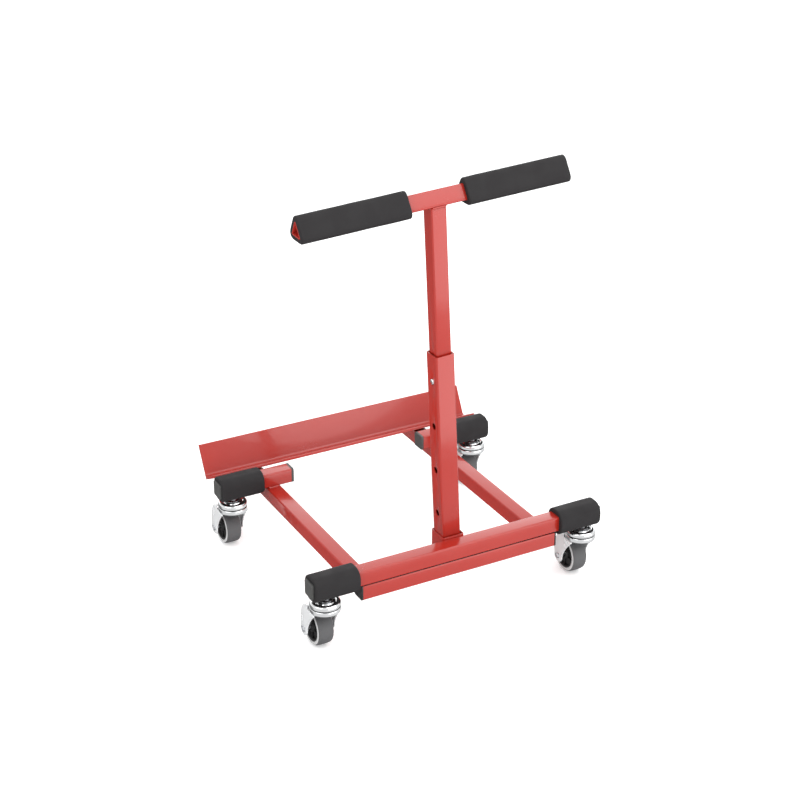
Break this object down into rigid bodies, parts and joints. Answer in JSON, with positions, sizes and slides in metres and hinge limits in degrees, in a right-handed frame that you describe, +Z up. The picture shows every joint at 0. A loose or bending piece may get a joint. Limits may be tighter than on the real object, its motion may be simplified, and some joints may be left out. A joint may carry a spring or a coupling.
{
  "type": "wheel dolly",
  "caption": "Low welded square-tube wheel dolly on swivel casters, with a rear angle iron, foam bumpers and a telescoping T-handle.",
  "frame": {"origin": "on the floor, under the middle of the frame's bounding box", "axes": "+Z up, +X to the right along the front beam, +Y from the front beam to the rear angle iron"},
  "size_m": [0.5186, 0.4842, 0.7197],
  "materials": {
    "red_paint": "glossy powder coat",
    "sleeve_foam": "matte closed-cell foam with a smooth skin",
    "grip_foam": "matte closed-cell foam with a smooth skin",
    "black_plastic": "moulded, fine texture",
    "chrome": "bright plated",
    "zinc": "bright zinc plate",
    "spring_steel": "oiled spring steel",
    "wheel_tread": "matte grey rubber",
    "wheel_hub": "moulded, satin"
  },
  "bodies": {
    "base": {"front_beam_upper": "red_paint", "front_beam_lower": "red_paint", "side_rail_left": "red_paint", "side_rail_right": "red_paint", "rear_stub_left": "red_paint", "rear_stub_right": "red_paint", "rear_angle": "red_paint", "post_socket": "red_paint", "foam_sleeve_front_left": "sleeve_foam", "foam_sleeve_front_right": "sleeve_foam", "foam_sleeve_rear_left": "sleeve_foam", "foam_sleeve_rear_right": "sleeve_foam", "front_plug_left": "black_plastic", "front_plug_right": "black_plastic", "rear_plug_left": "black_plastic", "rear_plug_right": "black_plastic", "lower_cap_left": "black_plastic", "lower_cap_right": "black_plastic", "stub_cap_left": "black_plastic", "stub_cap_right": "black_plastic", "rail_cap_left": "black_plastic", "rail_cap_right": "black_plastic", "caster_head_front_left": "chrome", "stem_nut_front_left": "zinc", "lock_nut_front_left": "zinc", "caster_head_front_right": "chrome", "stem_nut_front_right": "zinc", "lock_nut_front_right": "zinc", "caster_head_rear_left": "chrome", "stem_nut_rear_left": "zinc", "lock_nut_rear_left": "zinc", "caster_head_rear_right": "chrome", "stem_nut_rear_right": "zinc", "lock_nut_rear_right": "zinc"},
    "post": {"post_tube": "red_paint"},
    "handle": {"handle_tube": "red_paint", "cross_bar": "red_paint", "foam_grip_left": "grip_foam", "foam_grip_right": "grip_foam", "button_spring": "spring_steel"},
    "button": {"snap_button": "chrome"},
    "fork_front_left": {"caster_fork_front_left": "chrome", "axle_front_left": "zinc"},
    "wheel_front_left": {"wheel_hub_front_left": "wheel_hub", "wheel_tread_front_left": "wheel_tread"},
    "fork_front_right": {"caster_fork_front_right": "chrome", "axle_front_right": "zinc"},
    "wheel_front_right": {"wheel_hub_front_right": "wheel_hub", "wheel_tread_front_right": "wheel_tread"},
    "fork_rear_left": {"caster_fork_rear_left": "chrome", "axle_rear_left": "zinc"},
    "wheel_rear_left": {"wheel_hub_rear_left": "wheel_hub", "wheel_tread_rear_left": "wheel_tread"},
    "fork_rear_right": {"caster_fork_rear_right": "chrome", "axle_rear_right": "zinc"},
    "wheel_rear_right": {"wheel_hub_rear_right": "wheel_hub", "wheel_tread_rear_right": "wheel_tread"}
  },
  "joints": [
    {"name": "post_lift", "type": "slide", "parent": "base", "child": "post", "axis": [-0.0506, 0, 0.9987], "range_m": [0, 0.06]},
    {"name": "handle_slide", "type": "slide", "parent": "post", "child": "handle", "axis": [-0.0506, 0, 0.9987], "range_m": [-0.2286, 0], "deforming": ["snap_button"]},
    {"name": "button_press", "type": "slide", "parent": "handle", "child": "button", "axis": [0.9987, 0, 0.0506], "range_m": [0, 0.0045], "stiffness_N_per_m": 2000, "springref_m": -0.001},
    {"name": "swivel_front_left", "type": "hinge", "parent": "base", "child": "fork_front_left", "pos_m": [-0.232, -0.21765, 0.07], "axis": [0, 0, 1], "continuous": true},
    {"name": "roll_front_left", "type": "hinge", "parent": "fork_front_left", "child": "wheel_front_left", "pos_m": [-0.232, -0.19065, 0.0315], "axis": [1, 0, 0], "continuous": true},
    {"name": "swivel_front_right", "type": "hinge", "parent": "base", "child": "fork_front_right", "pos_m": [0.232, -0.21765, 0.07], "axis": [0, 0, 1], "continuous": true},
    {"name": "roll_front_right", "type": "hinge", "parent": "fork_front_right", "child": "wheel_front_right", "pos_m": [0.232, -0.19065, 0.0315], "axis": [1, 0, 0], "continuous": true},
    {"name": "swivel_rear_left", "type": "hinge", "parent": "base", "child": "fork_rear_left", "pos_m": [-0.232, 0.13585, 0.07], "axis": [0, 0, 1], "continuous": true},
    {"name": "roll_rear_left", "type": "hinge", "parent": "fork_rear_left", "child": "wheel_rear_left", "pos_m": [-0.232, 0.16285, 0.0315], "axis": [1, 0, 0], "continuous": true},
    {"name": "swivel_rear_right", "type": "hinge", "parent": "base", "child": "fork_rear_right", "pos_m": [0.232, 0.13585, 0.07], "axis": [0, 0, 1], "continuous": true},
    {"name": "roll_rear_right", "type": "hinge", "parent": "fork_rear_right", "child": "wheel_rear_right", "pos_m": [0.232, 0.16285, 0.0315], "axis": [1, 0, 0], "continuous": true}
  ]
}
